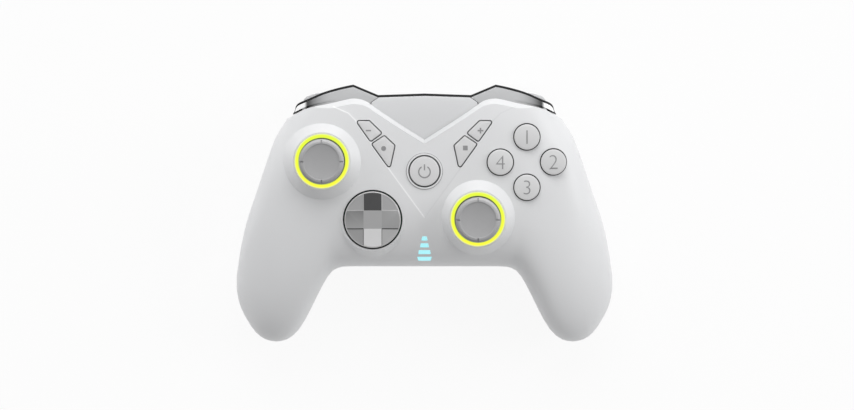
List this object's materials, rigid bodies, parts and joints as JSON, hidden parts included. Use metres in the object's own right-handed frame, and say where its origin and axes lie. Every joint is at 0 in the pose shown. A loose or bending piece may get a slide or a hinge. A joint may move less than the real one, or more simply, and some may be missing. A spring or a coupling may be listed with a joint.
{
  "type": "gamepad controller",
  "caption": "Two-handed wireless gamepad with grips, thumb sticks in lit rings, a dished direction pad, face buttons, bumpers, triggers and status bars.",
  "frame": {"origin": "on the flat underside, on the centre line, below the middle of the face", "axes": "+Z out of the face, +X to the right seen from the face, +Y towards the bumpers"},
  "size_m": [0.1556, 0.1068, 0.052],
  "materials": {
    "white_shell": "fine matte",
    "silver_trim": "satin",
    "black_gloss": "polished",
    "black_matte": "matte",
    "white_button": "satin",
    "dpad_metal": "faceted satin",
    "stick_rubber": "matte",
    "ring_light": "lit",
    "bar_light": "lit",
    "steel": "plain",
    "screw_steel": "black oxide",
    "board_green": "satin",
    "chip_black": "matte",
    "membrane_rubber": "matte",
    "battery_wrap": "satin"
  },
  "bodies": {
    "housing": {"front_shell": "white_shell", "rear_shell": "white_shell", "shell_screws": "screw_steel", "top_plate": "silver_trim", "port_panel": "black_gloss", "shoulder_frame": "black_matte", "dpad_post": "black_matte", "guide_trim_ring": "white_shell", "status_lights": "bar_light", "main_board": "board_green", "board_chips": "chip_black", "board_screws": "steel", "face_membrane": "membrane_rubber", "dpad_membrane": "membrane_rubber", "menu_membrane": "membrane_rubber", "battery_pack": "battery_wrap", "usb_socket": "steel", "usb_board": "board_green", "left_bumper_pin": "steel", "left_bumper_switch": "black_matte", "left_trigger_pin": "steel", "left_trigger_spring": "steel", "left_stick_frame": "steel", "left_light_ring": "ring_light", "left_rumble_motor": "steel", "right_bumper_pin": "steel", "right_bumper_switch": "black_matte", "right_trigger_pin": "steel", "right_trigger_spring": "steel", "right_stick_frame": "steel", "right_light_ring": "ring_light", "right_rumble_motor": "steel"},
    "left_yoke": {"left_stick_yoke": "black_matte"},
    "left_shaft": {"left_stick_shaft": "steel"},
    "left_cap": {"left_stick_cap": "stick_rubber"},
    "left_bumper_body": {"left_bumper": "silver_trim"},
    "left_trigger_body": {"left_trigger": "white_shell"},
    "left_weight": {"left_rumble_weight": "steel"},
    "right_yoke": {"right_stick_yoke": "black_matte"},
    "right_shaft": {"right_stick_shaft": "steel"},
    "right_cap": {"right_stick_cap": "stick_rubber"},
    "right_bumper_body": {"right_bumper": "silver_trim"},
    "right_trigger_body": {"right_trigger": "white_shell"},
    "right_weight": {"right_rumble_weight": "steel"},
    "dpad_cross": {"dpad_gimbal": "steel"},
    "dpad": {"dpad_disc": "dpad_metal"},
    "face_top": {"face_button_top": "white_button"},
    "face_right": {"face_button_right": "white_button"},
    "face_bottom": {"face_button_bottom": "white_button"},
    "face_left": {"face_button_left": "white_button"},
    "guide": {"guide_button": "white_button"},
    "menu_minus": {"menu_button_minus": "white_button"},
    "menu_plus": {"menu_button_plus": "white_button"},
    "menu_dot": {"menu_button_dot": "white_button"},
    "menu_square": {"menu_button_square": "white_button"}
  },
  "joints": [
    {"name": "left_stick_up_down", "type": "hinge", "parent": "housing", "child": "left_yoke", "pos_m": [-0.0419, 0.0221, 0.033], "axis": [1, 0, 0], "range_deg": [-17, 17], "stiffness_Nm_per_rad": 0.02},
    {"name": "left_stick_sideways", "type": "hinge", "parent": "left_yoke", "child": "left_shaft", "pos_m": [-0.0419, 0.0221, 0.033], "axis": [0, 1, 0], "range_deg": [-17, 17], "stiffness_Nm_per_rad": 0.02},
    {"name": "left_stick_click", "type": "slide", "parent": "left_shaft", "child": "left_cap", "axis": [0, 0, -1], "range_m": [0, 0.0005], "stiffness_N_per_m": 400},
    {"name": "right_stick_up_down", "type": "hinge", "parent": "housing", "child": "right_yoke", "pos_m": [0.0218, -0.0016, 0.033], "axis": [1, 0, 0], "range_deg": [-17, 17], "stiffness_Nm_per_rad": 0.02},
    {"name": "right_stick_sideways", "type": "hinge", "parent": "right_yoke", "child": "right_shaft", "pos_m": [0.0218, -0.0016, 0.033], "axis": [0, 1, 0], "range_deg": [-17, 17], "stiffness_Nm_per_rad": 0.02},
    {"name": "right_stick_click", "type": "slide", "parent": "right_shaft", "child": "right_cap", "axis": [0, 0, -1], "range_m": [0, 0.0005], "stiffness_N_per_m": 400},
    {"name": "dpad_rock_up_down", "type": "hinge", "parent": "housing", "child": "dpad_cross", "pos_m": [-0.0212, -0.0019, 0.0364], "axis": [1, 0, 0], "range_deg": [-3.5, 3.5], "stiffness_Nm_per_rad": 0.05, "deforming": ["dpad_membrane"]},
    {"name": "dpad_rock_sideways", "type": "hinge", "parent": "dpad_cross", "child": "dpad", "pos_m": [-0.0212, -0.0019, 0.0364], "axis": [0, 1, 0], "range_deg": [-3.5, 3.5], "stiffness_Nm_per_rad": 0.05, "deforming": ["dpad_membrane"]},
    {"name": "face_top_press", "type": "slide", "parent": "housing", "child": "face_top", "axis": [0, 0, -1], "range_m": [0, 0.0013], "stiffness_N_per_m": 250, "deforming": ["face_membrane"]},
    {"name": "face_right_press", "type": "slide", "parent": "housing", "child": "face_right", "axis": [0, 0, -1], "range_m": [0, 0.0013], "stiffness_N_per_m": 250, "deforming": ["face_membrane"]},
    {"name": "face_bottom_press", "type": "slide", "parent": "housing", "child": "face_bottom", "axis": [0, 0, -1], "range_m": [0, 0.0013], "stiffness_N_per_m": 250, "deforming": ["face_membrane"]},
    {"name": "face_left_press", "type": "slide", "parent": "housing", "child": "face_left", "axis": [0, 0, -1], "range_m": [0, 0.0013], "stiffness_N_per_m": 250, "deforming": ["face_membrane"]},
    {"name": "guide_press", "type": "slide", "parent": "housing", "child": "guide", "axis": [0, 0, -1], "range_m": [0, 0.0005], "stiffness_N_per_m": 400},
    {"name": "menu_minus_press", "type": "slide", "parent": "housing", "child": "menu_minus", "axis": [0, 0, -1], "range_m": [0, 0.0007], "stiffness_N_per_m": 300, "deforming": ["menu_membrane"]},
    {"name": "menu_plus_press", "type": "slide", "parent": "housing", "child": "menu_plus", "axis": [0, 0, -1], "range_m": [0, 0.0007], "stiffness_N_per_m": 300, "deforming": ["menu_membrane"]},
    {"name": "menu_dot_press", "type": "slide", "parent": "housing", "child": "menu_dot", "axis": [0, 0, -1], "range_m": [0, 0.0007], "stiffness_N_per_m": 300, "deforming": ["menu_membrane"]},
    {"name": "menu_square_press", "type": "slide", "parent": "housing", "child": "menu_square", "axis": [0, 0, -1], "range_m": [0, 0.0007], "stiffness_N_per_m": 300, "deforming": ["menu_membrane"]},
    {"name": "left_bumper_press", "type": "hinge", "parent": "housing", "child": "left_bumper_body", "pos_m": [-0.024, 0.046, 0.028], "axis": [0, 0, 1], "range_deg": [0, 1.2], "stiffness_Nm_per_rad": 0.6},
    {"name": "left_trigger_pull", "type": "hinge", "parent": "housing", "child": "left_trigger_body", "pos_m": [-0.0386, 0.0395, 0.0203], "axis": [-1, 0, 0], "range_deg": [0, 14], "stiffness_Nm_per_rad": 0.1},
    {"name": "left_weight_spin", "type": "hinge", "parent": "housing", "child": "left_weight", "pos_m": [-0.0575, -0.0393, 0.016], "axis": [0, 1, 0], "continuous": true},
    {"name": "right_bumper_press", "type": "hinge", "parent": "housing", "child": "right_bumper_body", "pos_m": [0.024, 0.046, 0.028], "axis": [0, 0, -1], "range_deg": [0, 1.2], "stiffness_Nm_per_rad": 0.6},
    {"name": "right_trigger_pull", "type": "hinge", "parent": "housing", "child": "right_trigger_body", "pos_m": [0.0386, 0.0395, 0.0203], "axis": [-1, 0, 0], "range_deg": [0, 14], "stiffness_Nm_per_rad": 0.1},
    {"name": "right_weight_spin", "type": "hinge", "parent": "housing", "child": "right_weight", "pos_m": [0.0575, -0.0393, 0.016], "axis": [0, 1, 0], "continuous": true}
  ]
}
